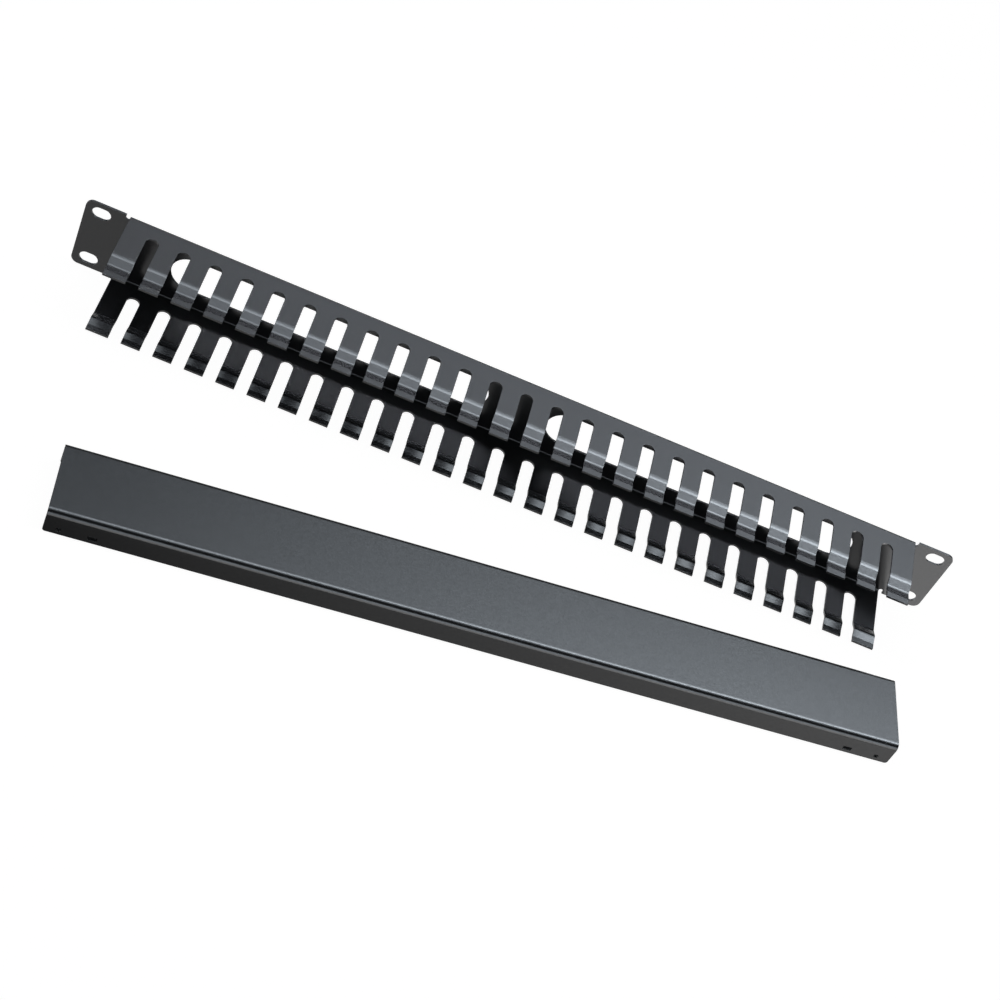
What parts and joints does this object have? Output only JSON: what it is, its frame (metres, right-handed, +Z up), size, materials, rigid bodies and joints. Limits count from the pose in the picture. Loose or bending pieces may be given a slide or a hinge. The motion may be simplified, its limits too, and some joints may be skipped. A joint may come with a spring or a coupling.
{
  "type": "horizontal cable manager",
  "caption": "Rack-width folded steel finger duct with slotted ears, and its clip-on channel cover lying face up in front of it.",
  "frame": {"origin": "centre of the four rack slots, on the front face of the panel and ears", "axes": "+X along the rack's width to the right seen from the front, -Y towards the person in front of the rack, +Z up"},
  "size_m": [0.4826, 0.1739, 0.044],
  "materials": {
    "duct_coat": "satin",
    "cover_coat": "satin"
  },
  "bodies": {
    "root": {"finger_duct": "duct_coat", "cover": "cover_coat"}
  },
  "joints": []
}
